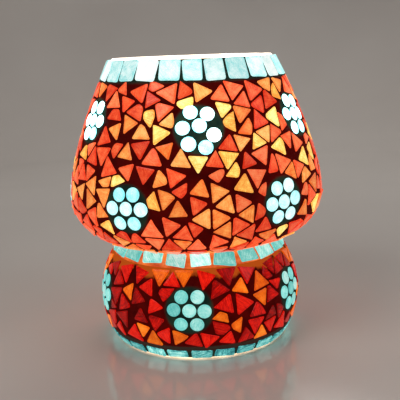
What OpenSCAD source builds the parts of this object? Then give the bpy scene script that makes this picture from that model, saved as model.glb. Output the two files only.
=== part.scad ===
// Mosaic glass table lamp: a blown glass bowl carries a lift-off blown glass shade. Both are covered with
// flat chips of coloured glass set in dark grout. A steel spider in the neck carries the lamp holder.
// Millimetres, +Z up, origin at the centre of the foot. Azimuth 0 faces -Y and grows towards +X.

/* [Shade] */
// Diameter of the blown shade at its widest, without the mosaic
shade_dia = 175; // [165:1:190]
// Height of the shade's widest ring above the table
shade_belly_z = 105; // [100:1:112]
// Diameter of the shade's open top edge
shade_rim_dia = 111; // [104:1:120]
// Height of the shade's top edge, which is the height of the lamp
lamp_height = 199; // [185:1:215]

/* [Base bowl] */
// Diameter of the bowl's ground foot
foot_dia = 118; // [110:1:124]
// Diameter of the blown bowl at its widest, without the mosaic
bowl_dia = 140; // [134:1:150]
// Height of the bowl's widest ring
bowl_belly_z = 33; // [29:1:37]
// Thickness of both blown glass walls
glass_wall = 2.4; // [2:0.1:3]

/* [Neck] */
// Outer diameter of the flat glass lips that meet at the neck
neck_dia = 108; // [104:1:112]
// Height of the bowl's flat top lip
bowl_lip_z = 72.6; // [71:0.1:74]
// Inner diameter of both glass lips
lip_bore_dia = 99; // [98:0.5:100]
// Thickness of each silicone gasket
gasket_t = 0.8; // [0.6:0.1:1.2]
// Thickness of the spun ring's steel
ring_t = 0.8; // [0.6:0.1:1]

/* [Mosaic] */
// Thickness of a glass chip
chip_t = 1.9; // [1.6:0.1:2.2]
// Thickness of the grout bed over the blown glass
grout_t = 0.8; // [0.6:0.1:1]
// Radius of the circle round a triangular chip
triangle_r = 8.3; // [6.5:0.1:8.6]
// Width of the grout joint between triangular chips
joint_w = 1.8; // [1.6:0.1:3]
// Diameter of a round chip
disc_dia = 9.2; // [8:0.1:9.6]
// Distance between the centres of two round chips in a flower
disc_pitch = 10.1; // [9.8:0.1:10.6]
// Number of square chips round the shade's top edge
rim_chips = 26; // [20:1:27]
// Number of chips round the bowl's shoulder
waist_chips = 22; // [18:1:22]
// Number of chips round the foot
foot_chips = 26; // [18:1:27]

/* [Lamp holder and bulb] */
// Diameter of the bulb's globe
bulb_dia = 60; // [50:1:60]
// Height of the bulb's lowest contact
bulb_tip_z = 78; // [77:0.5:80]
// Outer diameter of the threaded nipple
nipple_dia = 10; // [9.8:0.1:10]

/* [Hidden] */
$fn = 96;

curve_steps = 14;
chip_bed = 0.3;
row_pitch = 1.5 * triangle_r + joint_w;
chip_spacing = triangle_r * sqrt(3) / 2 + joint_w / sin(60);
chip_turn = 5;
flower_r = disc_pitch + disc_dia / 2 + 0.4;
hole_clear_r = 8.8;
bowl_red_share = 0.68;
shade_red_share = 0.5;
shade_orange_share = 0.28;
bare_lip = 8;
rim_band = 17.5;
foot_band = 10.5;
foot_grout_strip = 3.5;
waist_band = 11;
chip_height_rim = 15;
chip_height_foot = 7.4;
chip_height_waist = 9.4;

// Azimuths of the flowers, which were spaced by eye
bowl_azimuths = [-72.5, -6, 63, 138, 212.5];
upper_azimuths = [-62, 1.5, 62, 121, 180, 239];
lower_azimuths = [-29.5, 38.5, 97, 155.5, 214, 272];

ring_z = bowl_lip_z + gasket_t;
shade_lip_z = ring_z + ring_t + gasket_t;
skirt_r = lip_bore_dia / 2 - 0.4;
spider_z = 56;
spider_t = 1.2;
spider_arms = 3;
leg_r = skirt_r - ring_t - 0.3;
rivet_z = 68;

holder_z = spider_z + spider_t;
holder_r = 19.5;
block_z = holder_z + 12.4;
sleeve_z = holder_z + 18;
sleeve_top_z = bulb_tip_z + 23;
thread_r = 13.1;
thread_play = 0.08;
thread_pitch = 3.62;
cap_z = bulb_tip_z + 4;
globe_z = bulb_tip_z + 72;

grommet_azimuth = 180;
grommet_s = 19.5;
grommet_bore_r = 3.25;
grommet_neck_r = 5.5;
grommet_flange_r = 8;
foot_flat = 2.6;

plate_r = 15;
arm_w = 10;
leg_h = 15.5;
rivet_r = 1.6;
rivet_head_r = 2.6;
nipple_bore_r = 3.8;
nut_width = 16.2;
nut_t = 3.2;
washer_r = 9;
washer_t = 1;
case_wall = 2.5;
screw_r = 1.7;
screw_head_r = 3;
screw_offset = 9;
shell_z = bulb_tip_z - 2.8;
shell_h = 23;
contact_t = 0.5;
cap_inner_r = 12.05;
globe_neck_r = 12;
globe_wall = 0.8;
stem_r = 3;
stem_top_z = cap_z + 43.8;
wire_r = 0.35;
wire_length = 24;
wire_lean = 32;

// ---- curves ----
function bezier(p0, p1, p2, p3, t) =
    pow(1 - t, 3) * p0 + 3 * t * pow(1 - t, 2) * p1 + 3 * t * t * (1 - t) * p2 + pow(t, 3) * p3;
function bezier_points(p0, p1, p2, p3, first) =
    [for (i = [first : curve_steps]) bezier(p0, p1, p2, p3, i / curve_steps)];

// Outer faces of the two blown glasses, bottom to top, as [radius, height]
bowl_curve = concat(
    bezier_points(
        [foot_dia / 2, 0], [foot_dia / 2 + 5.2, 6], [bowl_dia / 2, bowl_belly_z - 17],
        [bowl_dia / 2, bowl_belly_z], 0),
    bezier_points(
        [bowl_dia / 2, bowl_belly_z], [bowl_dia / 2, bowl_belly_z + 12], [neck_dia / 2 + 7.4, bowl_lip_z - 7],
        [neck_dia / 2, bowl_lip_z], 1));
shade_curve = concat(
    [for (i = [0 : curve_steps]) let (a = 90 * i / curve_steps) [
        neck_dia / 2 + 1 + (shade_dia / 2 - neck_dia / 2 - 1) * sin(a),
        shade_belly_z - (shade_belly_z - shade_lip_z) * cos(a)]],
    bezier_points(
        [shade_dia / 2, shade_belly_z], [shade_dia / 2, shade_belly_z + 20],
        [shade_rim_dia / 2 + 17.5, lamp_height - 35], [shade_rim_dia / 2, lamp_height], 1));

function unit(v) = v / norm(v);
// Direction of a curve at point i, and the direction that faces out from the wall there
function along(curve, i) = unit(curve[min(i + 1, len(curve) - 1)] - curve[max(i - 1, 0)]);
function outward(curve, i) = let (t = along(curve, i)) [t[1], -t[0]];
// The curve moved out by d, kept between its own lowest and highest points
function moved(curve, d) = [for (i = [0 : len(curve) - 1]) let (p = curve[i] + d * outward(curve, i))
    [p[0], max(curve[0][1], min(curve[len(curve) - 1][1], p[1]))]];
// Length along the curve up to each of its points
function lengths(curve) = [for (i = 0, s = 0; i < len(curve);
    i = i + 1, s = i < len(curve) ? s + norm(curve[i] - curve[i - 1]) : s) s];
bowl_s = lengths(bowl_curve);
shade_s = lengths(shade_curve);
function last(list) = list[len(list) - 1];
function reversed(list) = [for (i = [len(list) - 1 : -1 : 0]) list[i]];
// Radius, height and upward tilt of the wall at length s
function spot(curve, s_list, s) =
    let (r_table = [for (i = [0 : len(curve) - 1]) [s_list[i], curve[i][0]]],
         z_table = [for (i = [0 : len(curve) - 1]) [s_list[i], curve[i][1]]],
         dr = lookup(s + 1, r_table) - lookup(s - 1, r_table),
         dz = lookup(s + 1, z_table) - lookup(s - 1, z_table))
    [lookup(s, r_table), lookup(s, z_table), atan2(-dr, dz)];

// ---- placing things on a wall ----
// Children stand on the wall at length s and an azimuth, with +Z out of the wall and +Y up along it
module on_wall(curve, s_list, s, azimuth, lift = 0) {
    place = spot(curve, s_list, s);
    rotate([0, 0, azimuth])
        translate([0, -place[0], place[1]])
            rotate([90 - place[2], 0, 0])
                translate([0, 0, lift])
                    children();
}
module on_bowl(s, azimuth, lift = 0) on_wall(bowl_curve, bowl_s, s, azimuth, lift) children();
module on_shade(s, azimuth, lift = 0) on_wall(shade_curve, shade_s, s, azimuth, lift) children();

// A closed skin between two distances from a curve, from one length to another
module skin(curve, s_list, inner, outer, s_from, s_to) {
    picked = [for (i = [0 : len(curve) - 1]) if (s_list[i] >= s_from && s_list[i] <= s_to) i];
    rotate_extrude()
        polygon(concat(
            [for (i = picked) curve[i] + outer * outward(curve, i)],
            [for (i = reversed(picked)) curve[i] + inner * outward(curve, i)]));
}

// ---- chips ----
module triangle_chip(turn) rotate([0, 0, turn]) cylinder(r = triangle_r, h = chip_t, $fn = 3);
module round_chip() cylinder(d = disc_dia, h = chip_t, $fn = 32);
// A square chip with its corners ground off
module square_chip(w, h, corner = 1.6)
    linear_extrude(chip_t)
        polygon([
            [corner - w / 2, -h / 2], [w / 2 - corner, -h / 2],
            [w / 2, corner - h / 2], [w / 2, h / 2 - corner],
            [w / 2 - corner, h / 2], [corner - w / 2, h / 2],
            [-w / 2, h / 2 - corner], [-w / 2, corner - h / 2]]);

// Flowers as [length along the wall, azimuth], each a disc of radius flower_r that triangles stay out of
bowl_flowers = [for (azimuth = bowl_azimuths) [40, azimuth]];
shade_flowers = concat(
    [for (azimuth = upper_azimuths) [105, azimuth]],
    [for (azimuth = lower_azimuths) [52, azimuth]]);

// Signed way round from one azimuth to another
function turn_between(a, b) = let (d = (a - b) % 360) d > 180 ? d - 360 : d < -180 ? d + 360 : d;
// The least distance from a triangle's corners and edge middles to the point at
function triangle_gap(s, azimuth, r, turn, at) =
    min([for (k = [0 : 5])
        let (reach = k % 2 == 0 ? triangle_r : triangle_r / 2)
        norm([s + reach * sin(turn + 60 * k) - at[0],
              turn_between(azimuth, at[1]) * PI / 180 * r + reach * cos(turn + 60 * k)])]);

// Rows of triangular chips, by turns point up and point down, as [length, azimuth, turn, colour draw].
// keep_out holds places as [length, azimuth, radius] that the triangles stay out of
function chip_rows(curve, s_list, s_from, s_to, keep_out, seed) =
    let (rows = floor((s_to - s_from) / row_pitch), step = (s_to - s_from) / rows)
    [for (row = [0 : rows - 1])
        let (middle = s_from + step * (row + 0.5),
             count = 2 * floor(PI * spot(curve, s_list, middle)[0] / chip_spacing),
             draws = rands(0, 1, 2 * count, seed + row))
        for (k = [0 : count - 1])
            let (up = k % 2 == 0,
                 s = middle + (up ? -1 : 1) * triangle_r / 4,
                 r = spot(curve, s_list, s)[0],
                 azimuth = 360 * (k + 0.5 * (row % 2)) / count,
                 turn = (up ? 90 : -90) + chip_turn * (2 * draws[2 * k] - 1))
            if (min([for (at = keep_out) triangle_gap(s, azimuth, r, turn, at) - at[2]]) > 0)
                [s, azimuth, turn, draws[2 * k + 1]]];
function keep_out_flowers(flowers) = [for (flower = flowers) [flower[0], flower[1], flower_r]];

bowl_rows = chip_rows(
    bowl_curve, bowl_s, foot_band + foot_grout_strip, last(bowl_s) - waist_band,
    concat(keep_out_flowers(bowl_flowers), [[grommet_s, grommet_azimuth, hole_clear_r]]), 11);
shade_rows = chip_rows(
    shade_curve, shade_s, bare_lip, last(shade_s) - rim_band, keep_out_flowers(shade_flowers), 40);

module bowl_triangles(draw_from, draw_to)
    for (chip = bowl_rows)
        if (chip[3] >= draw_from && chip[3] < draw_to)
            on_bowl(chip[0], chip[1], grout_t - chip_bed) triangle_chip(chip[2]);
module shade_triangles(draw_from, draw_to)
    for (chip = shade_rows)
        if (chip[3] >= draw_from && chip[3] < draw_to)
            on_shade(chip[0], chip[1], grout_t - chip_bed) triangle_chip(chip[2]);

// Seven discs, one in the middle of six, as offsets [around, up]
flower_offsets = concat([[0, 0]], [for (k = [0 : 5]) disc_pitch * [cos(60 * k), sin(60 * k)]]);
module flower_discs(curve, s_list, flowers)
    for (flower = flowers)
        for (offset = flower_offsets) {
            s = flower[0] + offset[1];
            around = offset[0] / spot(curve, s_list, s)[0] * 180 / PI;
            on_wall(curve, s_list, s, flower[1] + around, grout_t - chip_bed) round_chip();
        }

// ---- base bowl ----
module base_glass() color([0.95, 0.62, 0.45, 0.6])
    difference() {
        rotate_extrude()
            polygon(concat(
                bowl_curve,
                [[lip_bore_dia / 2, bowl_lip_z], [lip_bore_dia / 2, bowl_lip_z - glass_wall]],
                reversed(moved(bowl_curve, -glass_wall)),
                [[foot_dia / 2 - foot_flat, 0]]));
        on_bowl(grommet_s, grommet_azimuth, -10) cylinder(r = grommet_neck_r, h = 20);
    }
module base_grout() color([0.12, 0.03, 0.03])
    difference() {
        skin(bowl_curve, bowl_s, 0, grout_t, 1, last(bowl_s) - 1.5);
        on_bowl(grommet_s, grommet_azimuth, -2) cylinder(r = grommet_flange_r + 0.4, h = 10);
    }
module base_red_chips() color([0.80, 0.06, 0.04]) bowl_triangles(0, bowl_red_share);
module base_orange_chips() color([0.98, 0.46, 0.08]) bowl_triangles(bowl_red_share, 1.01);
module base_flower_discs() color([0.56, 0.90, 0.86]) flower_discs(bowl_curve, bowl_s, bowl_flowers);
module waist_chips_turquoise() color([0.62, 0.93, 0.88])
    for (k = [0 : waist_chips - 1])
        on_bowl(last(bowl_s) - waist_band / 2 - 1, 360 * (k + 0.5) / waist_chips, grout_t - chip_bed)
            square_chip(0.9 * PI * neck_dia / waist_chips, chip_height_waist);
module foot_chips_turquoise() color([0.32, 0.75, 0.70])
    for (k = [0 : foot_chips - 1])
        on_bowl(foot_band / 2 + 1.3, 360 * (k + 0.5) / foot_chips, grout_t - chip_bed)
            square_chip(0.9 * PI * foot_dia / foot_chips, chip_height_foot);
// Rubber grommet that lines the hole for the supply cord
module cord_grommet() color([0.10, 0.10, 0.10])
    on_bowl(grommet_s, grommet_azimuth, 0)
        rotate_extrude()
            polygon([
                [grommet_bore_r, -5.2], [6.4, -5.2], [7.2, -4.4], [7.2, -glass_wall - 0.7],
                [grommet_neck_r, -glass_wall - 0.7], [grommet_neck_r, 0.5], [grommet_flange_r, 0.5],
                [grommet_flange_r, 1.4], [grommet_flange_r - 1.4, 2.4], [grommet_bore_r, 2.4]]);

// ---- neck ----
module tube(r_in, r_out, z, h)
    translate([0, 0, z])
        difference() {
            cylinder(r = r_out, h = h);
            translate([0, 0, -1]) cylinder(r = r_in, h = h + 2);
        }
module lower_neck_gasket() color([0.16, 0.15, 0.15])
    tube(lip_bore_dia / 2 + 0.2, neck_dia / 2 - 0.2, bowl_lip_z, gasket_t);
module upper_neck_gasket() color([0.16, 0.15, 0.15])
    tube(lip_bore_dia / 2 + 0.2, neck_dia / 2 - 0.2, ring_z + ring_t, gasket_t);
// Spun ring: a flange between the two gaskets and a skirt that keeps both glasses on one centre
module neck_ring() color([0.72, 0.72, 0.74])
    difference() {
        union() {
            tube(skirt_r - ring_t, neck_dia / 2, ring_z, ring_t);
            tube(skirt_r - ring_t, skirt_r, ring_z - 10, 20);
        }
        at_rivets() cylinder(r = rivet_r, h = 10, center = true, $fn = 24);
    }
module at_rivets()
    for (k = [0 : spider_arms - 1])
        rotate([0, 0, k * 360 / spider_arms])
            translate([0, -leg_r, rivet_z])
                rotate([90, 0, 0])
                    children();
module holder_spider() color([0.70, 0.70, 0.72])
    difference() {
        union() {
            translate([0, 0, spider_z]) cylinder(r = plate_r, h = spider_t);
            for (k = [0 : spider_arms - 1])
                rotate([0, 0, k * 360 / spider_arms]) {
                    translate([-arm_w / 2, -leg_r, spider_z]) cube([arm_w, leg_r, spider_t]);
                    translate([-arm_w / 2, -leg_r, spider_z]) cube([arm_w, spider_t, leg_h]);
                }
        }
        translate([0, 0, spider_z - 1]) cylinder(d = nipple_dia, h = 4);
        at_rivets() cylinder(r = rivet_r, h = 10, center = true, $fn = 24);
    }
module spider_rivets() color([0.80, 0.80, 0.80])
    at_rivets() {
        translate([0, 0, -spider_t]) cylinder(r = rivet_r, h = spider_t + 0.3 + ring_t, $fn = 24);
        translate([0, 0, -spider_t - 1]) cylinder(r = rivet_head_r, h = 1, $fn = 24);
    }

// ---- nipple and its fittings ----
module nipple() color([0.80, 0.74, 0.48]) tube(nipple_bore_r, nipple_dia / 2, spider_z - 9, 19);
module nipple_washer() color([0.75, 0.75, 0.75])
    tube(nipple_dia / 2, washer_r, spider_z - washer_t, washer_t);
module nipple_nut() color([0.80, 0.74, 0.48])
    difference() {
        translate([0, 0, spider_z - washer_t - nut_t]) cylinder(d = nut_width, h = nut_t, $fn = 6);
        translate([0, 0, spider_z - 5]) cylinder(d = nipple_dia, h = 5);
    }
module nipple_bush() color([0.92, 0.92, 0.88])
    translate([0, 0, spider_z - 11])
        rotate_extrude()
            polygon([
                [3, 0], [nipple_dia / 2 + 0.6, 0], [nipple_dia / 2 + 0.6, 2], [nipple_bore_r, 2],
                [nipple_bore_r, 6], [3, 6]]);

// ---- lamp holder, a two-part moulded case round the metal parts ----
module holder_cap() color([0.10, 0.10, 0.11])
    translate([0, 0, holder_z])
        rotate_extrude()
            polygon([
                [nipple_dia / 2, 0], [9.5, 0], [11, 3], [holder_r - 1.5, 10], [holder_r, 12], [holder_r, 18],
                [holder_r - case_wall, 18], [holder_r - case_wall, 12.5], [10, 6.6], [nipple_dia / 2, 6.6]]);
module holder_sleeve() color([0.10, 0.10, 0.11])
    rotate_extrude()
        polygon(concat(
            [[thread_r + 2.2, sleeve_z + 1.8], [holder_r - case_wall, sleeve_z], [holder_r, sleeve_z],
             [holder_r, sleeve_z + 4]],
            [for (k = [0 : 3]) for (p = [[-1.2, 0], [-1.2, 1.4], [-0.3, 2.1], [-0.3, 3.1]])
                [holder_r + p[0], sleeve_z + 5 + 3.8 * k + p[1]]],
            [[holder_r - 1.4, sleeve_top_z - 2], [holder_r - 2.4, sleeve_top_z],
             [thread_r + 0.9, sleeve_top_z], [thread_r + 0.9, sleeve_top_z - 2],
             [thread_r + 2.2, sleeve_top_z - 2]]));
module contact_block() color([0.93, 0.91, 0.86])
    difference() {
        union() {
            translate([0, 0, block_z]) cylinder(r = thread_r + 2.1, h = shell_z - block_z);
            translate([0, 0, block_z]) cylinder(r = thread_r + 3.6, h = 3);
        }
        terminal_places() translate([0, 0, -1]) cylinder(r = screw_r, h = 9, $fn = 24);
    }
module terminal_places()
    for (side = [-1, 1])
        translate([side * screw_offset, 0, block_z])
            children();
module terminal_screws() color([0.82, 0.80, 0.72])
    terminal_places() {
        cylinder(r = screw_r, h = 3.6, $fn = 24);
        difference() {
            translate([0, 0, -2]) cylinder(r = screw_head_r, h = 2, $fn = 24);
            translate([-4, -0.4, -3]) cube([8, 0.8, 1.8]);
        }
    }
module thread_shell() color([0.85, 0.70, 0.35])
    tube(thread_r + thread_play, thread_r + 0.5, shell_z, shell_h);
// Sprung tongue that presses on the bulb's middle contact
module centre_contact() color([0.85, 0.70, 0.35])
    translate([-2.5, -7, shell_z]) {
        cube([5, 12, contact_t]);
        cube([5, contact_t, 2.5]);
        translate([0, 0, 2.5 - contact_t]) cube([5, 10, contact_t]);
    }

// ---- shade ----
module shade_glass() color([0.95, 0.62, 0.45, 0.6])
    rotate_extrude()
        polygon(concat(
            [[lip_bore_dia / 2, shade_lip_z + glass_wall], [lip_bore_dia / 2, shade_lip_z]],
            shade_curve,
            reversed(moved(shade_curve, -glass_wall))));
module shade_grout() color([0.12, 0.03, 0.03])
    skin(shade_curve, shade_s, 0, grout_t, bare_lip - 2, last(shade_s) - 1.5);
module shade_red_chips() color([1.00, 0.32, 0.18]) shade_triangles(0, shade_red_share);
module shade_orange_chips() color([1.00, 0.50, 0.20])
    shade_triangles(shade_red_share, shade_red_share + shade_orange_share);
module shade_amber_chips() color([1.00, 0.72, 0.28])
    shade_triangles(shade_red_share + shade_orange_share, 1.01);
module shade_flower_discs() color([0.80, 0.97, 0.95]) flower_discs(shade_curve, shade_s, shade_flowers);
module shade_rim_chips() color([0.65, 0.95, 0.92])
    for (k = [0 : rim_chips - 1])
        on_shade(last(shade_s) - rim_band / 2 - 1, 360 * (k + 0.5) / rim_chips, grout_t - chip_bed)
            square_chip(0.97 * PI * shade_rim_dia / rim_chips, chip_height_rim);

// ---- bulb, turned as one piece ----
module bulb_globe() color([1.00, 0.97, 0.90, 0.5])
    rotate_extrude()
        polygon(concat(globe_outline(0), reversed(globe_outline(globe_wall))));
// Half outline of the globe, drawn in by a wall thickness: a neck that swells into a ball
function globe_outline(wall) =
    let (r = bulb_dia / 2 - wall, neck_r = globe_neck_r - wall, from = -52, start = cap_z + 15 + wall)
    concat(
        [[0, start], [neck_r, start]],
        [for (i = [0 : 8]) bezier(
            [neck_r, cap_z + 22], [neck_r, cap_z + 34],
            [r * cos(from) - 10, globe_z + r * sin(from) - 12],
            [r * cos(from), globe_z + r * sin(from)], i / 8)],
        [for (a = [from + 6 : 6 : 90]) [max(0, r * cos(min(a, 90))), globe_z + r * sin(min(a, 90))]],
        [[0, globe_z + r]]);
module bulb_screw_cap() color([0.78, 0.78, 0.76])
    rotate_extrude()
        polygon(concat(
            [[cap_inner_r, cap_z], [12.3, cap_z]],
            [for (k = [0 : 3]) for (p = [[12.4, 0.5], [thread_r, 1.3], [thread_r, 2.3], [12.4, 3.1]])
                [p[0], cap_z + thread_pitch * k + p[1]]],
            [[12.6, cap_z + 15.5], [12.6, cap_z + 19], [13.4, cap_z + 22.5],
             [cap_inner_r, cap_z + 22.5]]));
module bulb_insulator() color([0.06, 0.05, 0.08])
    translate([0, 0, bulb_tip_z + 1])
        cylinder(r1 = 5.4, r2 = cap_inner_r, h = cap_z - bulb_tip_z - 1);
module bulb_tip_contact() color([0.75, 0.75, 0.72])
    translate([0, 0, bulb_tip_z]) cylinder(r = 4.8, h = 1);
module bulb_stem() color([0.85, 0.92, 0.92, 0.6]) {
    translate([0, 0, stem_top_z - 28]) cylinder(r1 = 8, r2 = stem_r, h = 12);
    translate([0, 0, stem_top_z - 16]) cylinder(r = stem_r, h = 16);
}
module bulb_lead_wires() color([0.80, 0.78, 0.72])
    for (side = [-1, 1])
        translate([side * 2, 0, stem_top_z - 1])
            rotate([0, side * wire_lean, 0])
                cylinder(r = wire_r, h = wire_length, $fn = 16);
module bulb_filament() color([1.00, 0.90, 0.55])
    translate([0, 0, stem_top_z - 1.3 + wire_length * cos(wire_lean)])
        rotate([0, 90, 0])
            cylinder(r = 0.6, h = 2 * (2.6 + wire_length * sin(wire_lean)), center = true, $fn = 16);

base_glass();
base_grout();
base_red_chips();
base_orange_chips();
base_flower_discs();
waist_chips_turquoise();
foot_chips_turquoise();
cord_grommet();
lower_neck_gasket();
upper_neck_gasket();
neck_ring();
holder_spider();
spider_rivets();
nipple();
nipple_washer();
nipple_nut();
nipple_bush();
holder_cap();
holder_sleeve();
contact_block();
thread_shell();
centre_contact();
terminal_screws();
shade_glass();
shade_grout();
shade_red_chips();
shade_orange_chips();
shade_amber_chips();
shade_flower_discs();
shade_rim_chips();
bulb_globe();
bulb_screw_cap();
bulb_insulator();
bulb_tip_contact();
bulb_stem();
bulb_lead_wires();
bulb_filament();
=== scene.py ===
import math
import random

import bmesh
import bpy
from mathutils import Matrix, Vector, noise


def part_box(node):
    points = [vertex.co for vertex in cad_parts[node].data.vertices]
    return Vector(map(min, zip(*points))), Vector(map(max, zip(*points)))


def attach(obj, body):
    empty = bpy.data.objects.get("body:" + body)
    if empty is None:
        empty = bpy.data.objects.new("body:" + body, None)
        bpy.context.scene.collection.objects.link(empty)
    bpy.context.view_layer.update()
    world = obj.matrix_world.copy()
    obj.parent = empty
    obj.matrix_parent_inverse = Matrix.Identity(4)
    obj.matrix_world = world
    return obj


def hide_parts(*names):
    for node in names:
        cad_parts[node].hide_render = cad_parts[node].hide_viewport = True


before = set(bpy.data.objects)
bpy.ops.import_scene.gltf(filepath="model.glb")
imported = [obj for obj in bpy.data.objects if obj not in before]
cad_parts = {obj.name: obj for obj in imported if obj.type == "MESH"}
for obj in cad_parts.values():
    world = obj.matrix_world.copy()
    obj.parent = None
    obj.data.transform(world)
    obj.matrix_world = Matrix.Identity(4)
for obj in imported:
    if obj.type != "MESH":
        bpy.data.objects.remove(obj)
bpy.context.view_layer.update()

# Sizes are in millimetres, and become the frame's metres where a mesh is made.
MM = 0.001
TAU = 2 * math.pi


# -------- sizes
def box_mm(node):
    """A CAD node's lowest and highest corners."""
    low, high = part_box(node)
    return low / MM, high / MM


bowl_high = box_mm("base_glass")[1]
shade_low, shade_high = box_mm("shade_glass")
globe_low, globe_high = box_mm("bulb_globe")

BOWL_R = bowl_high.x
BOWL_LIP_Z = bowl_high.z
SHADE_R = shade_high.x
SHADE_LIP_Z = shade_low.z
TOP_Z = shade_high.z
NECK_R = box_mm("upper_neck_gasket")[1].x + 0.2
GLOBE_R = globe_high.x
GLOBE_Z = globe_high.z - GLOBE_R
GLOBE_LOW_Z = globe_low.z

CURVE_STEPS = 120
FOOT_R = 59.0
BOWL_BELLY_Z = 33.0
SHADE_BELLY_Z = 105.0
RIM_R = 55.5
LIP_BORE_R = 49.5
GLASS_WALL = 2.4
FOOT_FLAT = 2.6
FACE_LIFT = 2.1      # outer face of a chip above the blown glass
GROUT_LIFT = 1.65    # face of the grout above the blown glass
GROUT_UNDER = 1.0    # how far grout runs in under a chip
GROUT_STEP = 1.15    # about the height of one row of faces in the grout

RIM_BAND = 17.5      # length of wall under each band of square chips
WAIST_BAND = 11.0
FOOT_BAND = 10.5
FOOT_STRIP = 3.0     # plain grout above the foot's band
BARE_LIP = 6.5       # bare glass at the shade's lower edge
CORD_HOLE_S = 19.5   # the grommet's place up the bowl's rear

CORD_HOLE_CLEAR = 8.8   # no chip lies nearer the hole's middle
RIM_SQUARES = 26
WAIST_SQUARES = 22
FOOT_SQUARES = 26

DISC_R = 4.6
DISC_PITCH = 10.1
BULB_REACH = 68.0    # distance from the bulb's middle at which a wall is fully lit
CAP_PITCH = 3.62     # thread of an E27 cap


# -------- walls
def blend(shares, places):
    """The places added up, each by its share."""
    return tuple(sum(share * x for share, x in zip(shares, along)) for along in zip(*places))


def bezier(p0, p1, p2, p3, count):
    """Points on a cubic Bezier curve, both of its ends among them."""
    points = []
    for i in range(count + 1):
        t = i / count
        u = 1 - t
        points.append(blend((u ** 3, 3 * t * u * u, 3 * t * t * u, t ** 3), (p0, p1, p2, p3)))
    return points


def bowl_curve():
    """Outer face of the bowl's glass, foot to neck, as (radius, height)."""
    foot, belly, neck = (FOOT_R, 0), (BOWL_R, BOWL_BELLY_Z), (NECK_R, BOWL_LIP_Z)
    lower = bezier(foot, (FOOT_R + 5.2, 6), (BOWL_R, BOWL_BELLY_Z - 17), belly, CURVE_STEPS)
    upper = bezier(belly, (BOWL_R, BOWL_BELLY_Z + 12), (NECK_R + 7.4, BOWL_LIP_Z - 7), neck, CURVE_STEPS)
    return lower[:-1] + upper


def shade_curve():
    """Outer face of the shade's glass, neck to rim."""
    lower = []
    for i in range(CURVE_STEPS):
        a = math.pi / 2 * i / CURVE_STEPS
        lower.append((
            NECK_R + 1 + (SHADE_R - NECK_R - 1) * math.sin(a),
            SHADE_BELLY_Z - (SHADE_BELLY_Z - SHADE_LIP_Z) * math.cos(a),
        ))
    belly, rim = (SHADE_R, SHADE_BELLY_Z), (RIM_R, TOP_Z)
    return lower + bezier(belly, (SHADE_R, SHADE_BELLY_Z + 20), (RIM_R + 17.5, TOP_Z - 35), rim, CURVE_STEPS)


def outwards(a):
    """The level unit vector that points out at azimuth a."""
    return Vector((math.sin(a), -math.cos(a), 0))


class Wall:
    """A turned glass wall. A place on it is a length s up along the wall and an azimuth a, 0 at the front."""

    def __init__(self, points, step=0.5):
        lengths = [0.0]
        for p, q in zip(points, points[1:]):
            lengths.append(lengths[-1] + math.dist(p, q))
        self.length = lengths[-1]
        self.step = step
        self.rows = []
        k = 0
        count = int(self.length / step) + 1
        for i in range(count + 1):
            s = min(i * step, self.length)
            while k < len(points) - 2 and lengths[k + 1] < s:
                k += 1
            t = (s - lengths[k]) / (lengths[k + 1] - lengths[k])
            r = points[k][0] * (1 - t) + points[k + 1][0] * t
            z = points[k][1] * (1 - t) + points[k + 1][1] * t
            self.rows.append([r, z, 0.0, 0.0])
        for i, row in enumerate(self.rows):
            before = self.rows[max(i - 2, 0)]
            after = self.rows[min(i + 2, len(self.rows) - 1)]
            row[2] = math.atan2(before[0] - after[0], after[1] - before[1])
        for before, row in zip(self.rows, self.rows[1:]):
            row[3] = before[3] + step / (0.5 * (before[0] + row[0]))

    def at(self, s):
        """Radius, height, upward tilt and conformal height at length s."""
        x = min(max(s / self.step, 0), len(self.rows) - 1.001)
        i = int(x)
        t = x - i
        return [a * (1 - t) + b * t for a, b in zip(self.rows[i], self.rows[i + 1])]

    def off(self, s, lift):
        """(radius, height) of the place that stands lift out of the glass."""
        r, z, tilt, _ = self.at(s)
        return r + lift * math.cos(tilt), z + lift * math.sin(tilt)

    def place(self, s, a):
        """Matrix with its origin on the glass, +X along the azimuth, +Y up the wall and +Z out of it."""
        r, z, tilt, _ = self.at(s)
        east = Vector((math.cos(a), math.sin(a), 0))
        out = outwards(a) * math.cos(tilt) + Vector((0, 0, math.sin(tilt)))
        m = Matrix((east, out.cross(east), out)).transposed().to_4x4()
        m.translation = outwards(a) * r + Vector((0, 0, z))
        return m

    def across(self, s, a, degrees):
        """Distance round the wall, at length s, from an azimuth in degrees to a."""
        return ((a - math.radians(degrees) + math.pi) % TAU - math.pi) * self.at(s)[0]


BOWL = Wall(bowl_curve())
SHADE = Wall(shade_curve())


# -------- laying the mosaic
def edges(outline):
    return zip(outline[-1:] + outline[:-1], outline)


def apart(a, b, gap):
    """True if convex anticlockwise outlines are at least gap apart along the normal of one of their edges."""
    for p, q in ((a, b), (b, a)):
        for (x0, y0), (x1, y1) in edges(p):
            nx = y1 - y0
            ny = x0 - x1
            limit = nx * x0 + ny * y0 + gap * math.hypot(nx, ny)
            if all(nx * x + ny * y >= limit for x, y in q):
                return True
    return False


def cut_along(outline, nx, ny, limit):
    """The part of the outline where nx * x + ny * y is at least limit."""
    kept = []
    for (x0, y0), (x1, y1) in edges(outline):
        d0 = nx * x0 + ny * y0 - limit
        d1 = nx * x1 + ny * y1 - limit
        if (d0 >= 0) != (d1 >= 0):
            t = d0 / (d0 - d1)
            kept.append((x0 + t * (x1 - x0), y0 + t * (y1 - y0)))
        if d1 >= 0:
            kept.append((x1, y1))
    return kept


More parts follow.
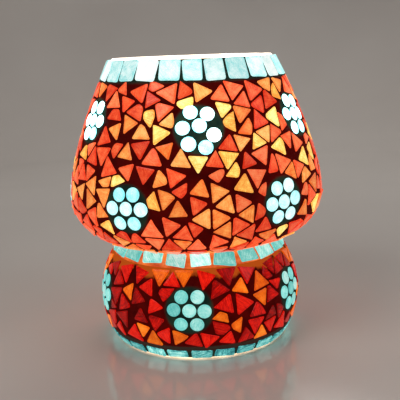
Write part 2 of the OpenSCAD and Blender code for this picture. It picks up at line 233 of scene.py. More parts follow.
def nipped(outline, other, gap):
    """The outline with the corner that comes too close to other nipped off along other's nearest edge."""
    best = None
    for (x0, y0), (x1, y1) in edges(other):
        length = math.hypot(x1 - x0, y1 - y0)
        if length < 1e-6:
            continue
        nx = (y1 - y0) / length
        ny = (x0 - x1) / length
        limit = nx * x0 + ny * y0 + gap
        least = min(nx * x + ny * y - limit for x, y in outline)
        if best is None or least > best[0]:
            best = (least, nx, ny, limit)
    return cut_along(outline, *best[1:])


def area(outline):
    return sum(x0 * y1 - x1 * y0 for (x0, y0), (x1, y1) in edges(outline)) / 2


def inradius(outline):
    return 2 * area(outline) / sum(math.dist(p, q) for p, q in edges(outline))


def ring(across, up, count):
    """A round outline of count corners."""
    return [(across * math.cos(TAU * k / count), up * math.sin(TAU * k / count)) for k in range(count)]


def triangle(side, turn, rng, unevenness):
    """Corners of a hand-cut triangle round its middle, its flat base turned away from the direction turn."""
    reach = side / math.sqrt(3)
    corners = []
    for k in range(3):
        angle = turn + TAU * k / 3 + rng.uniform(-1, 1) * unevenness
        length = reach * (1 + rng.uniform(-1, 1) * unevenness)
        corners.append((length * math.cos(angle), length * math.sin(angle)))
    return corners


class Mosaic:
    """Lays triangles outwards from the bands and from one another. Each lies along an edge that is already
    there, a little askew, with a corner nipped off if it has to be."""

    JOINT = 0.95        # grout between two chips
    NEAR = 2.4          # chips nearer than this count as touching
    CELL = 0.2          # side of a search cell, in wall widths
    FRONT = 16          # how far down the list of free edges the next one may be
    LONG = 6            # an edge shorter than this gets no neighbour of its own
    SLIM = 2.3          # smallest inradius of a chip
    LEAST = 0.32        # least area of a nipped triangle, as a share of its side squared

    def __init__(self, wall, low, high, keep_out, seed):
        self.wall = wall
        self.low = low
        self.high = high
        self.rng = random.Random(seed)
        self.chips = []
        self.cells = {}
        self.front = []
        for s, a, radius in keep_out:
            self.remember(s, a, ring(radius, radius, 12))

    def cells_of(self, a, v, r, outline, margin=0.0):
        def span(values):
            first = math.floor((min(values) - margin) / self.CELL)
            return range(first, math.floor((max(values) + margin) / self.CELL) + 1)

        for i in span([a + x / r for x, _ in outline]):
            for j in span([v + y / r for _, y in outline]):
                yield i, j

    def remember(self, s, a, outline):
        """Notes an outline, in three turns so that a neighbour across the seam is found too."""
        r, _, _, v = self.wall.at(s)
        for turn in (a - TAU, a, a + TAU):
            flat = [(turn + x / r, v + y / r) for x, y in outline]
            for cell in self.cells_of(turn, v, r, outline):
                self.cells.setdefault(cell, []).append(flat)

    def near(self, s, a, outline):
        """Outlines close to this one, in mm about its own place."""
        r, _, _, v = self.wall.at(s)
        found = {}
        for cell in self.cells_of(a, v, r, outline, 0.04):
            for flat in self.cells.get(cell, ()):
                if id(flat) not in found:
                    found[id(flat)] = [((x - a) * r, (y - v) * r) for x, y in flat]
        return found.values()

    def fitted(self, s, a, outline, least_area):
        """A score, the place and the outline cut to fit, or None if too little of it is left."""
        whole = area(outline)
        outline = cut_along(outline, 0, 1, self.low - s)
        outline = cut_along(outline, 0, -1, s - self.high)
        if len(outline) < 3:
            return None
        others = self.near(s, a, outline)
        for other in others:
            if not apart(outline, other, self.JOINT):
                outline = nipped(outline, other, self.JOINT + 0.02)
                if len(outline) < 3 or area(outline) < least_area:
                    return None
        if area(outline) < least_area or inradius(outline) < self.SLIM:
            return None
        touching = sum(not apart(outline, other, self.NEAR) for other in others)
        touching += min(y for _, y in outline) < self.low - s + 1
        touching += max(y for _, y in outline) > self.high - s - 1
        return touching + 5 * area(outline) / whole, s, a, outline

    def keep(self, found):
        _, s, a, outline = found
        a %= TAU
        self.chips.append((s, a, outline))
        self.remember(s, a, outline)
        r = self.wall.at(s)[0]
        for (x0, y0), (x1, y1) in edges(outline):
            if math.hypot(x1 - x0, y1 - y0) > self.LONG:
                facing = math.atan2(x0 - x1, y1 - y0)
                self.front.append((s + (y0 + y1) / 2, a + (x0 + x1) / 2 / r, facing))

    def seed_edge(self, s, facing, spacing=14.5):
        count = round(TAU * self.wall.at(s)[0] / spacing)
        for k in range(count):
            self.front.append((s, TAU * (k + 0.6 * self.rng.random()) / count, facing))

    def grow(self, sides, askew, slip, tries=12):
        rng = self.rng
        while self.front:
            s0, a0, facing = self.front.pop(rng.randrange(min(len(self.front), self.FRONT)))
            best = None
            for _ in range(tries):
                side = rng.uniform(*sides)
                skew = rng.gauss(0, askew)
                away = self.JOINT + side / math.sqrt(12) + abs(skew) * side * 0.45
                slide = rng.gauss(0, slip)
                s = s0 + away * math.sin(facing) + slide * math.cos(facing)
                if not self.low < s < self.high:
                    continue
                a = a0 + (away * math.cos(facing) - slide * math.sin(facing)) / self.wall.at(s)[0]
                outline = triangle(side, facing + skew, rng, 0.06)
                found = self.fitted(s, a, outline, self.LEAST * side * side)
                if found and (best is None or found[0] > best[0]):
                    best = found
            if best:
                self.keep(best)

    def fill(self, side, least, tries):
        """Chips nipped to go into the larger gaps that are left."""
        rng = self.rng
        for _ in range(tries):
            s = rng.uniform(self.low + 2, self.high - 2)
            a = rng.uniform(0, TAU)
            found = self.fitted(s, a, triangle(side, rng.uniform(0, TAU), rng, 0.08), least)
            if found:
                self.keep(found)


# Flowers as (length along the wall, azimuth in degrees), spaced as the maker spaced them
BOWL_FLOWERS = [(40.0, a) for a in (-72.5, -6.0, 63.0, 138.0, 212.5)]
UPPER_FLOWERS = [(105.0, -62.0), (101.0, 2.3)] + [(105.0, a) for a in (62.0, 121.0, 180.0, 239.0)]
LOWER_FLOWERS = [(52.0, a) for a in (-29.5, 38.5, 97.0, 155.5, 214.0, 272.0)]
HEXAGON = [(0.0, 0.0)] + ring(DISC_PITCH, DISC_PITCH, 6)
# The upper front flower was laid crooked: (east, north) of its discs from its middle
CROOKED = ((0.5, 2.3), (-4.5, 10.9), (5.6, 9.5), (-9.6, 1.2), (9.0, -3.7), (-6.5, -8.8), (3.7, -11.2))
FLOWER_R = DISC_PITCH + DISC_R + 0.3


def held(x):
    """x, held from 0 to 1."""
    return max(0.0, min(1.0, x))


def turned_by(angle, x, y):
    return x * math.cos(angle) - y * math.sin(angle), x * math.sin(angle) + y * math.cos(angle)


def flower_discs(flowers, rng, slip):
    """Each disc as (s, degrees, east, north): its flower's place and its own from there, a bit off true."""
    discs = []
    for s, degrees in flowers:
        swing = rng.uniform(-1, 1) * slip * 0.12
        if (s, degrees) == UPPER_FLOWERS[1]:
            discs += [(s, degrees, x, y) for x, y in CROOKED]
            continue
        for x, y in HEXAGON:
            east, north = turned_by(swing, x, y)
            east += rng.uniform(-1, 1) * slip * 0.5
            north += rng.uniform(-1, 1) * slip * 0.5
            discs.append((s, degrees, east, north))
    return discs


def keep_out(flowers):
    return [(s, math.radians(degrees), FLOWER_R) for s, degrees in flowers]


def lay(wall, low, high, blocks, seed):
    mosaic = Mosaic(wall, low, high, blocks, seed)
    mosaic.seed_edge(high, facing=-math.pi / 2)
    mosaic.seed_edge(low, facing=math.pi / 2)
    mosaic.grow(sides=(11.8, 14.6), askew=0.24, slip=2.4)
    mosaic.fill(side=12.0, least=42.0, tries=2500)
    mosaic.fill(side=10.5, least=32.0, tries=1500)
    return mosaic.chips


# -------- building meshes
def rework(obj, change):
    """Runs change on a bmesh of the piece."""
    bm = bmesh.new()
    bm.from_mesh(obj.data)
    change(bm)
    bm.to_mesh(obj.data)
    bm.free()


def open_hole(obj, middle, radius):
    """Takes away the faces whose middles lie within radius of a point."""
    def change(bm):
        near = [f for f in bm.faces if (f.calc_center_median() / MM - middle).length < radius]
        bmesh.ops.delete(bm, geom=near, context="FACES")
    rework(obj, change)


def weld(obj):
    """Joins the points that a lathe leaves on its axis and throws away the empty faces there."""
    def change(bm):
        bmesh.ops.remove_doubles(bm, verts=bm.verts, dist=1e-7)
        bmesh.ops.dissolve_degenerate(bm, edges=bm.edges, dist=1e-8)
        bmesh.ops.recalc_face_normals(bm, faces=bm.faces)
    rework(obj, change)


def drop_loose_points(obj):
    def change(bm):
        loose = [v for v in bm.verts if not v.link_faces]
        bmesh.ops.delete(bm, geom=loose, context="VERTS")
    rework(obj, change)


def show(obj):
    bpy.context.scene.collection.objects.link(obj)


def put(obj, body, slot, *nodes):
    """Hangs a finished piece on its body and hides the CAD nodes it stands for. slot is not used."""
    show(obj)
    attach(obj, body)
    if nodes:
        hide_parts(*nodes)


def mesh_object(name, points, faces, material):
    """A smooth-shaded object, not yet in the scene."""
    mesh = bpy.data.meshes.new(name)
    mesh.from_pydata([tuple(p * MM) for p in points], [], faces)
    mesh.materials.append(material)
    mesh.polygons.foreach_set("use_smooth", [True] * len(mesh.polygons))
    mesh.update()
    return bpy.data.objects.new(name, mesh)


def point_values(obj, name, kind, values):
    """Stores a list of tuples on the mesh's points, for a material to read."""
    attribute = obj.data.attributes.new(name, kind, "POINT")
    key = "color" if kind == "FLOAT_COLOR" else "vector"
    attribute.data.foreach_set(key, [x for value in values for x in value])


def rounded(outline, cut, steps=3):
    """A closed outline with every corner drawn off by about cut."""
    points = []
    count = len(outline)
    for i, corner in enumerate(outline):
        ends = []
        for other in (outline[i - 1], outline[(i + 1) % count]):
            length = math.dist(corner, other)
            t = min(cut, 0.38 * length) / length
            ends.append([c + (o - c) * t for c, o in zip(corner, other)])
        for k in range(steps + 1):
            t = k / steps
            points.append(blend(((1 - t) ** 2, 2 * t * (1 - t), t * t), (ends[0], corner, ends[1])))
    return points


def lathe(outline, segments, shape=None, closed=True):
    """Points and faces of a (radius, height) outline turned about the axis.
    shape, if given, takes (radius, height, angle) to the radius and height that are used."""
    points = []
    for k in range(segments):
        a = TAU * k / segments
        for r, z in outline:
            if shape:
                r, z = shape(r, z, a)
            points.append(Vector((r * math.sin(a), -r * math.cos(a), z)))
    faces = []
    count = len(outline)
    for k in range(segments):
        this = k * count
        after = (k + 1) % segments * count
        for i in range(count if closed else count - 1):
            j = (i + 1) % count
            faces.append((this + i, after + i, after + j, this + j))
    return points, faces


def turned(name, outline, segments, material, shape=None, true_edges=50):
    """A lathe-turned piece. Edges sharper than true_edges degrees stay sharp."""
    obj = mesh_object(name, *lathe(outline, segments, shape), material)
    if true_edges:
        obj.data.set_sharp_from_angle(angle=math.radians(true_edges))
    weld(obj)
    return obj


# -------- chips
CHIP_BACK = 0.1
CHIP_BEVEL = 0.35


class Chips:
    """Gathers chips of one colour into one mesh, with what its material reads from each point:
    "chip" holds two draws for the whole chip, the distance in from its edge and its light,
    "lay" holds the chip's own flat coordinates, so that streaks in the glass turn with it."""

    def __init__(self, wall, seed):
        self.wall = wall
        self.rng = random.Random(seed)
        self.points = []
        self.faces = []
        self.chip = []
        self.lay = []
        self.laid = []

    def add(self, s, a, outline, cut, lean, light):
        """One chip. Its outline lies on the wall's tangent plane, anticlockwise. cut draws its corners off,
        lean is the most that its face may tilt."""
        rng = self.rng
        edge = rounded(outline, cut)
        self.laid.append((s, a, edge))
        middle = [sum(c) / len(edge) for c in zip(*edge)]
        deep = inradius(edge)
        rings = [  # (inset from the edge, height, what the material reads as depth)
            (0, CHIP_BACK, 0.0), (0, FACE_LIFT - CHIP_BEVEL, 0.0), (0.12, FACE_LIFT - 0.1, 0.1),
            (CHIP_BEVEL, FACE_LIFT, 0.35), (min(1.5, 0.5 * deep), FACE_LIFT, 1.0)]
        place = self.wall.place(s, a)
        lean_x = rng.uniform(-lean, lean)
        lean_y = rng.uniform(-lean, lean)
        draws = (rng.random(), rng.random())
        swing = rng.uniform(0, TAU)
        shift = (rng.uniform(0, 90), rng.uniform(0, 90))
        first = len(self.points)
        count = len(edge)
        for inset, height, depth in rings:
            shrink = 1 - inset / deep
            for x, y in edge:
                x = middle[0] + (x - middle[0]) * shrink
                y = middle[1] + (y - middle[1]) * shrink
                tip = (x * lean_x + y * lean_y) if height > 1 else 0
                self.points.append(place @ Vector((x, y, height + tip)))
                self.chip.append((*draws, depth, light))
                along, across = turned_by(swing, x, y)
                self.lay.append((along + shift[0], across + shift[1], height))
        for level in range(len(rings) - 1):
            low = first + level * count
            for i in range(count):
                j = (i + 1) % count
                self.faces.append((low + i, low + j, low + count + j, low + count + i))
        top = first + (len(rings) - 1) * count
        self.faces.append(tuple(range(top, top + count)))
        self.faces.append(tuple(range(first + count - 1, first - 1, -1)))

    def piece(self, name, material, body, slot, *nodes):
        obj = mesh_object(name, self.points, self.faces, material)
        point_values(obj, "chip", "FLOAT_COLOR", self.chip)
        point_values(obj, "lay", "FLOAT_VECTOR", self.lay)
        obj.data.set_sharp_from_angle(angle=math.radians(24))
        put(obj, body, slot, *nodes)


def uneven_square(width, height, rng, play):
    """Four corners of a hand-cut square chip."""
    return [
        (sx * width / 2 + rng.uniform(-play, play), sy * height / 2 + rng.uniform(-play, play))
        for sx, sy in ((-1, -1), (1, -1), (1, 1), (-1, 1))
    ]


def light_at(wall, s, near, far):
    """How brightly the bulb lights the wall from behind: near at the wall closest to it, far well away."""
    r, z, tilt, _ = wall.at(s)
    rise = z - GLOBE_Z
    distance = math.hypot(r, rise)
    facing = max(0.0, (r * math.cos(tilt) + rise * math.sin(tilt)) / distance)
    return far + (near - far) * min(1.0, facing * (BULB_REACH / distance) ** 2)


def band(chips, s, count, fill, height, play, cut, sway, light, slip=0.3):
    """One ring of square chips, of uneven width, which take up the share fill of the way round.
    play, sway and slip are how far their corners, their turn and their height stray."""
    rng = chips.rng
    width = fill * TAU * chips.wall.at(s)[0] / count
    shares = [1 + rng.uniform(-0.09, 0.09) for _ in range(count)]
    a = TAU * 0.5 / count
    for share in shares:
        step = TAU * share / sum(shares)
        square = uneven_square(width * share, height * rng.uniform(0.94, 1.0), rng, play)
        turn = rng.uniform(-sway, sway)
        square = [turned_by(turn, x, y) for x, y in square]
        place = s + rng.uniform(-slip, slip)
        chips.add(place, a + step / 2, square, cut, 0.015, light * rng.uniform(0.92, 1.06))
        a += step


# -------- materials
def colour(red, green, blue):
    """An sRGB colour out of 255 as the linear colour that shaders take."""
    def linear(c):
        c /= 255
        return c / 12.92 if c <= 0.04045 else ((c + 0.055) / 1.055) ** 2.4
    return (linear(red), linear(green), linear(blue), 1.0)


BLACK = colour(0, 0, 0)


class Finish:
    """A material round one Principled shader, with short ways to add the nodes that drive it.
    Keywords are sockets' names, or i and a socket's number."""

    def __init__(self, name, **values):
        self.material = bpy.data.materials.new(name)
        self.material.use_nodes = True
        self.tree = self.material.node_tree
        self.shader = self.tree.nodes["Principled BSDF"]
        self.set(**values)

    def plug(self, node, values):
        for key, value in values.items():
            numbered = key[0] == "i" and key[1:].isdigit()
            socket = node.inputs[int(key[1:]) if numbered else key.replace("_", " ")]
            if isinstance(value, bpy.types.NodeSocket):
                self.tree.links.new(value, socket)
            else:
                socket.default_value = value

    def set(self, **values):
        self.plug(self.shader, values)

    def add(self, kind, settings=(), **values):
        node = self.tree.nodes.new("ShaderNode" + kind)
        for key, value in dict(settings).items():
            setattr(node, key, value)
        self.plug(node, values)
        return node

    def attribute(self, name):
        return self.add("Attribute", {"attribute_name": name}).outputs

    def split(self, colours):
        return self.add("SeparateColor", Color=colours).outputs[:3]

    def here(self):
        return self.add("TexCoord").outputs["Object"]

    def height(self):
        return self.add("SeparateXYZ", Vector=self.here()).outputs["Z"]

    def stretched(self, vector, *scale):
        return self.add("Mapping", Vector=vector, Scale=scale).outputs[0]

    def noise(self, scale, detail=2.0, vector=None, **values):
        node = self.add("TexNoise", Vector=vector or self.here(), Scale=scale, Detail=detail, **values)
        return node.outputs["Fac"]

    def sum(self, kind, a, b, clamp=False):
        return self.add("Math", {"operation": kind, "use_clamp": clamp}, i0=a, i1=b).outputs[0]

    def span(self, value, low, high, to_low=0.0, to_high=1.0):
        """value's range low to high taken to another range, and held there."""
        return self.add(
            "MapRange", Value=value, From_Min=low, From_Max=high, To_Min=to_low, To_Max=to_high
        ).outputs["Result"]

    def vary(self, noise, low=0.0, high=1.0):
        """Takes a noise's usual range to the range low to high."""
        return self.span(noise, 0.3, 0.7, low, high)

    def mix(self, share, a, b, kind="MIX"):
        node = self.add("Mix", {"data_type": "RGBA", "blend_type": kind})
        self.plug(node, {"i0": share, "i6": a, "i7": b})
        return node.outputs[2]

    def bump(self, height, strength=0.2, distance=0.0003):
        node = self.add("Bump", Strength=strength, Distance=distance, Height=height)
        self.set(Normal=node.outputs[0])


def chip_glass(name, deep, plain, bright, streaks, glow=1.0):
    """Stained glass lit from behind. deep, plain and bright are its sRGB colours from its thickest to its
    thinnest, glow is the strength of its light, streaks how much the drawn marks in it show."""
    finish = Finish(name, Roughness=0.14, IOR=1.5, Specular_IOR_Level=0.25)
    chip = finish.attribute("chip")
    shade, power, depth = finish.split(chip["Color"])
    lay = finish.attribute("lay")["Vector"]
    cloud = finish.noise(0.22, 2.0, lay)
    grain = finish.noise(2.3, 4.0, lay, Roughness=0.8)
    streak = finish.noise(1.0, 2.0, finish.stretched(lay, 0.16, 1.5, 1.0), Distortion=0.6)
    thin = finish.sum("ADD", finish.vary(cloud, -0.2, 0.2), finish.span(shade, 0, 1, 0.2, 0.8))
    thin = finish.sum("ADD", thin, finish.vary(streak, -streaks, streaks))
    thin = finish.sum("ADD", thin, finish.vary(grain, -0.42, 0.42))
    thin = finish.sum("ADD", thin, finish.span(depth, 0.3, 1.0, -0.22, 0.0), clamp=True)
    tint = finish.mix(finish.span(thin, 0.0, 0.5), colour(*deep), colour(*plain))
    tint = finish.mix(finish.span(thin, 0.5, 1.0), tint, colour(*bright))
    strength = finish.sum("MULTIPLY", chip["Alpha"], finish.span(power, 0, 1, 0.86 * glow, 1.12 * glow))
    # painted light: a thin line along each chip's edge glows brighter than its face
    rim = finish.span(depth, 0.0, 0.3, 1.22, 1.0)
    finish.set(
        Base_Color=finish.mix(0.85, tint, BLACK),
        Emission_Color=tint,
        Emission_Strength=finish.sum("MULTIPLY", strength, rim),
    )
    finish.bump(grain, 0.25, 0.0002)
    return finish.material


def shade_red():
    return chip_glass("shade_red", (198, 38, 16), (228, 84, 44), (238, 128, 78), streaks=0.16, glow=1.04)


def shade_orange():
    return chip_glass("shade_orange", (206, 84, 30), (232, 138, 64), (244, 184, 104), streaks=0.16, glow=1.1)


def shade_amber():
    return chip_glass("shade_amber", (220, 130, 48), (243, 194, 92), (253, 242, 160), streaks=0.16, glow=1.18)


def shade_flower():
    return chip_glass("shade_flower_glass", (120, 222, 226), (190, 246, 246), (246, 255, 255), streaks=0.12)


def rim_square():
    return chip_glass("rim_glass", (140, 214, 213), (222, 243, 240), (255, 255, 253), streaks=0.12)


def bowl_red():
    return chip_glass("bowl_red", (112, 0, 0), (190, 8, 2), (232, 30, 10), streaks=0.3)


def bowl_orange():
    return chip_glass("bowl_orange", (190, 62, 4), (240, 106, 12), (252, 142, 40), streaks=0.1)


def bowl_flower():
    return chip_glass(
        "bowl_flower_glass", (90, 190, 184), (140, 222, 212), (206, 246, 236), streaks=0.12, glow=0.95)


def waist_square():
    return chip_glass("waist_glass", (86, 190, 182), (158, 228, 216), (240, 254, 248), streaks=0.24)


def foot_square():
    return chip_glass("foot_turquoise", (14, 84, 90), (86, 178, 174), (180, 230, 218), streaks=0.34)


def grout():
    """Dark cement between the chips, with painted light: it glows dark red, and its point colours say where
    it is painted green among the turquoise chips or lets light through.
    """
    finish = Finish("grout", Roughness=0.7, IOR=1.3, Specular_IOR_Level=0.12)
    marks = finish.attribute("tint")
    green, bare, strip = finish.split(marks["Color"])
    patches = finish.noise(110.0, 3.0)
    sand = finish.noise(1900.0, 4.0, Roughness=0.75)
    blotch = finish.span(patches, 0.35, 0.65)
    base = finish.mix(blotch, colour(10, 1, 1), colour(20, 3, 3))
    # painted light: the grout turns green among the turquoise chips
    base = finish.mix(green, base, finish.mix(blotch, colour(6, 20, 17), colour(12, 36, 30)))
    base = finish.mix(strip, base, colour(62, 52, 46))
    cloud = finish.vary(patches)
    # painted light: the grout glows dark red, green among the turquoise chips and orange where it lets light
    # through
    leak = finish.mix(cloud, colour(52, 0, 0), colour(80, 2, 0))
    leak = finish.mix(green, leak, finish.mix(cloud, colour(10, 28, 24), colour(34, 46, 32)))
    leak = finish.mix(strip, leak, colour(38, 30, 24))
    through = finish.sum("MULTIPLY", bare, finish.span(patches, 0.36, 0.6, 0.5, 1.4))
    leak = finish.mix(finish.span(through, 0.45, 0.75), leak, colour(186, 78, 18))
    finish.set(
        Base_Color=finish.mix(finish.vary(sand, 0.0, 0.5), base, BLACK),
        Emission_Color=leak,
        Emission_Strength=finish.sum("MULTIPLY", marks["Alpha"], 0.9),
    )
    finish.bump(sand, 0.6, 0.0004)
    return finish.material


def blown_glass(name, low, high):
    """Clear blown glass, which carries the lamp's light to its bare edges. low and high are those edges,
    each as (height, length of the fade, strength, colour)."""
    finish = Finish(
        name, Base_Color=colour(255, 226, 200), Roughness=0.06, IOR=1.5, Transmission_Weight=0.92)
    height = finish.height()
    z, fade, strength, low_colour = low
    at_low = finish.span(height, z * MM, (z + fade) * MM, strength, 0.0)
    z, fade, strength, high_colour = high
    at_high = finish.span(height, (z - fade) * MM, (z - 0.8) * MM, 0.0, strength)
    # painted light: the glow along the bare edges comes and goes in patches
    uneven_glow = finish.vary(finish.noise(90.0, 2.0), 0.55, 1.25)
    finish.set(
        Emission_Color=finish.mix(at_high, low_colour, high_colour),
        Emission_Strength=finish.sum("MULTIPLY", finish.sum("MAXIMUM", at_low, at_high), uneven_glow),
    )
    finish.bump(finish.noise(40.0, 1.0), 0.15, 0.001)
    return finish.material


def metal(name, tone, roughness):
    """Worked metal with fine turned marks and dull patches."""
    finish = Finish(name, Metallic=1.0)
    marks = finish.noise(420.0, 2.0, finish.stretched(finish.here(), 1.0, 1.0, 14.0))
    dull = finish.noise(70.0, 3.0)
    darker = tuple(c * 0.62 for c in tone[:3]) + (1.0,)
    rough = finish.vary(dull, roughness, roughness + 0.14)
    finish.set(
        Base_Color=finish.mix(finish.span(dull, 0.35, 0.7), tone, darker),
        Roughness=finish.sum("ADD", rough, finish.vary(marks, 0.0, 0.1)),
    )
    finish.bump(marks, 0.25, 0.00012)
    return finish.material


def moulded(name, tone, worn, roughness, scale=900.0):
    """A moulded or fired piece with a fine grain and faint wear."""
    finish = Finish(name, IOR=1.48)
    grain = finish.noise(scale, 3.0)
    wear = finish.noise(60.0, 4.0)
    finish.set(
        Base_Color=finish.mix(finish.span(wear, 0.4, 0.75), tone, worn),
        Roughness=finish.vary(wear, roughness, roughness + 0.15),
    )
    finish.bump(grain, 0.18, 0.00015)
    return finish.material


def steel():
    return metal("steel", (0.56, 0.56, 0.58, 1.0), 0.24)


def brass():
    return metal("brass", (0.72, 0.53, 0.22, 1.0), 0.22)


def nickel():
    return metal("nickel", (0.66, 0.63, 0.58, 1.0), 0.18)


def phenolic():
    return moulded("phenolic", (0.012, 0.011, 0.011, 1.0), (0.03, 0.026, 0.024, 1.0), 0.28)


def porcelain():
    return moulded("porcelain", (0.78, 0.74, 0.66, 1.0), (0.62, 0.57, 0.48, 1.0), 0.2, 500.0)


def rubber():
    return moulded("rubber", (0.016, 0.016, 0.017, 1.0), (0.04, 0.038, 0.036, 1.0), 0.6, 1500.0)


def white_plastic():
    return moulded("white_plastic", (0.72, 0.71, 0.68, 1.0), (0.6, 0.58, 0.52, 1.0), 0.35)


def black_glass():
    return moulded("black_glass", (0.008, 0.006, 0.014, 1.0), (0.02, 0.016, 0.026, 1.0), 0.08, 300.0)


def bulb_glass():
    """Frosted envelope, lit from inside and brightest round its middle."""
    finish = Finish("bulb_glass", Base_Color=(0.9, 0.88, 0.84, 1.0), Roughness=0.35, IOR=1.46)
    height = finish.height()
    up = finish.span(height, (GLOBE_Z - 52) * MM, (GLOBE_Z - 20) * MM, 0.15, 1.0)
    up = finish.sum("MULTIPLY", up, finish.span(height, GLOBE_Z * MM, (GLOBE_Z + GLOBE_R) * MM, 1.0, 0.6))
    frost = finish.noise(55.0, 2.0)
    finish.set(
        Emission_Color=finish.mix(up, colour(255, 176, 96), colour(255, 236, 196)),
        Emission_Strength=finish.sum("MULTIPLY", up, finish.vary(frost, 1.2, 1.45)),
    )
    return finish.material


def stem_glass():
    finish = Finish("stem_glass", Base_Color=(0.86, 0.94, 0.93, 1.0), IOR=1.5, Transmission_Weight=0.9)
    finish.set(Roughness=finish.vary(finish.noise(120.0, 2.0), 0.04, 0.2))
    return finish.material


def hot_wire():
    finish = Finish("hot_wire", Base_Color=(0.3, 0.28, 0.26, 1.0), Roughness=0.5, Metallic=1.0)
    heat = finish.vary(finish.noise(300.0, 1.0))
    finish.set(
        Emission_Color=finish.mix(heat, colour(255, 180, 90), colour(255, 226, 150)), Emission_Strength=20.0)
    return finish.material


def pale_floor():
    """A plain pale table with a soft gloss."""
    finish = Finish("pale_floor", IOR=1.6)
    cloud = finish.noise(3.0, 3.0)
    fine = finish.noise(220.0, 3.0)
    finish.set(
        Base_Color=finish.mix(finish.vary(cloud), colour(226, 221, 215), colour(218, 212, 206)),
        Roughness=finish.vary(fine, 0.1, 0.16),
    )
    finish.bump(fine, 0.04, 0.0002)
    return finish.material


# -------- the mosaic pieces
def triangles(laid, light, seed, groups, warmth=lambda s, a: 0.0):
    """Sorts laid triangles into colours. groups are (share, Chips) pairs, whose shares add up to 1.
    warmth(s, a) turns the draw towards the last groups."""
    rng = random.Random(seed)
    for s, a, outline in laid:
        draw = rng.random() + warmth(s, a)
        for share, chips in groups:
            draw -= share
            if draw < 0 or chips is groups[-1][1]:
                chips.add(s, a, outline, rng.uniform(1.0, 2.2), 0.03, light(s))
                break


def discs(chips, flowers, light, slip, seed):
    rng = random.Random(seed)
    for s, degrees, east, north in flower_discs(flowers, rng, slip):
        radius = DISC_R * rng.uniform(0.96, 1.01)
        disc = ring(radius, radius * rng.uniform(0.96, 1.0), 28)
        s += north
        a = math.radians(degrees) + east / chips.wall.at(s)[0]
        chips.add(s, a, disc, 0.2, 0.03, light(s))


def shade_light(s):
    return light_at(SHADE, s, near=1.85, far=0.82)


def shade_triangle_light(s):
    return light_at(SHADE, s, near=1.3, far=1.0)


def bowl_light(s):
    return 0.88 + 0.22 * min(1.0, s / BOWL.length)


def front_hot_spot_amber(s, a):
    """More amber chips round the upper front flower than elsewhere: painted light, standing in for the bright
    hot spot where the bulb shines through.
    """
    s0, degrees = UPPER_FLOWERS[1]
    away = math.hypot(s - s0, SHADE.across(s, a, degrees))
    return 0.42 * max(0.0, 1.25 - away / 36) - 0.03


def make_shade_chips():
    laid = lay(SHADE, BARE_LIP, SHADE.length - RIM_BAND + 0.7, keep_out(UPPER_FLOWERS + LOWER_FLOWERS), 5)
    red, orange, amber, flowers, rim = colours = [Chips(SHADE, seed) for seed in range(21, 26)]
    triangles(laid, shade_triangle_light, 31, [(0.62, red), (0.26, orange), (0.12, amber)], front_hot_spot_amber)
    discs(flowers, UPPER_FLOWERS, lambda s: 2.1 * shade_light(s), slip=1.2, seed=33)
    discs(flowers, LOWER_FLOWERS, shade_light, slip=0.8, seed=34)
    s = SHADE.length - RIM_BAND / 2 - 0.6
    band(rim, s, RIM_SQUARES, 0.91, RIM_BAND - 2.6, play=0.5, cut=1.8, sway=0.03, light=1.12)

    red.piece("red_triangles", shade_red(), "shade", "red_glass", "shade_red_chips")
    orange.piece("orange_triangles", shade_orange(), "shade", "orange_glass", "shade_orange_chips")
    amber.piece("amber_triangles", shade_amber(), "shade", "amber_glass", "shade_amber_chips")
    flowers.piece("shade_flowers", shade_flower(), "shade", "turquoise_glass", "shade_flower_discs")
    rim.piece("rim_squares", rim_square(), "shade", "turquoise_glass", "shade_rim_chips")
    return sum((chips.laid for chips in colours), [])


def make_bowl_chips():
    blocks = keep_out(BOWL_FLOWERS) + [(CORD_HOLE_S, math.pi, CORD_HOLE_CLEAR)]
    laid = lay(BOWL, FOOT_BAND + FOOT_STRIP, BOWL.length - WAIST_BAND - 1, blocks, 9)
    red, orange, flowers, waist, foot = colours = [Chips(BOWL, seed) for seed in (41, 42, 44, 46, 47)]
    triangles(laid, bowl_light, 43, [(0.7, red), (0.3, orange)])
    discs(flowers, BOWL_FLOWERS, bowl_light, slip=0.5, seed=45)
    s = BOWL.length - WAIST_BAND / 2 - 1.0
    band(waist, s, WAIST_SQUARES, 0.82, WAIST_BAND - 1.6, play=1.0, cut=0.9, sway=0.13, light=1.0, slip=0.8)
    s = FOOT_BAND / 2 + 1.6
    band(foot, s, FOOT_SQUARES, 0.89, FOOT_BAND - 3.2, play=0.6, cut=0.9, sway=0.05, light=1.2)

    red.piece("deep_red_triangles", bowl_red(), "base", "red_glass", "base_red_chips")
    orange.piece("bright_orange_triangles", bowl_orange(), "base", "orange_glass", "base_orange_chips")
    flowers.piece("bowl_flowers", bowl_flower(), "base", "turquoise_glass", "base_flower_discs")
    waist.piece("waist_squares", waist_square(), "base", "turquoise_glass", "waist_chips_turquoise")
    foot.piece("foot_squares", foot_square(), "base", "turquoise_glass", "foot_chips_turquoise")
    return sum((chips.laid for chips in colours), [])


def inside(outline, x, y, margin):
    """True if a point lies at least margin inside a convex anticlockwise outline."""
    for (x0, y0), (x1, y1) in edges(outline):
        length = math.hypot(x1 - x0, y1 - y0)
        if length > 0.01 and ((x1 - x0) * (y - y0) - (y1 - y0) * (x - x0)) / length < margin:
            return False
    return True


